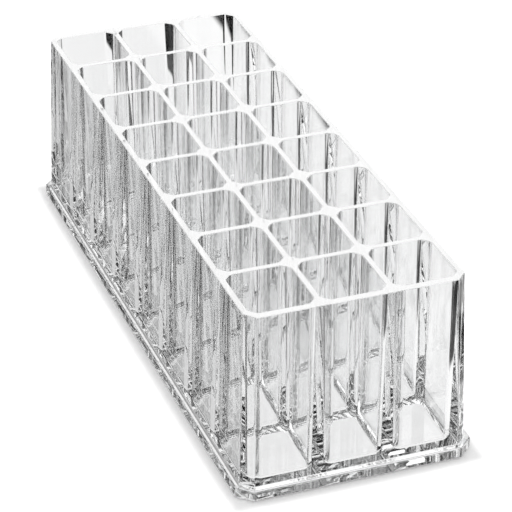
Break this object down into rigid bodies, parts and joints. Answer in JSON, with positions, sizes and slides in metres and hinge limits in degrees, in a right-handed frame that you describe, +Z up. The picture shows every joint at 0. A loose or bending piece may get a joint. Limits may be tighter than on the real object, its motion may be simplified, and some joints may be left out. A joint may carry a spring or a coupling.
{
  "type": "perfume organizer",
  "caption": "Clear acrylic block of open-topped compartments for small perfume bottles, bonded into a flanged base plate on small clear feet.",
  "frame": {"origin": "centre of the resting plane under the feet", "axes": "+X to the right along the short front, +Y towards the back along the length, +Z up"},
  "size_m": [0.0886, 0.2446, 0.0717],
  "materials": {
    "clear_acrylic_block": "polished",
    "clear_acrylic_base": "polished",
    "clear_foot": "gloss"
  },
  "bodies": {
    "root": {"compartment_block": "clear_acrylic_block", "base_plate": "clear_acrylic_base", "foot_front_left": "clear_foot", "foot_front_right": "clear_foot", "foot_back_left": "clear_foot", "foot_back_right": "clear_foot"}
  },
  "joints": []
}
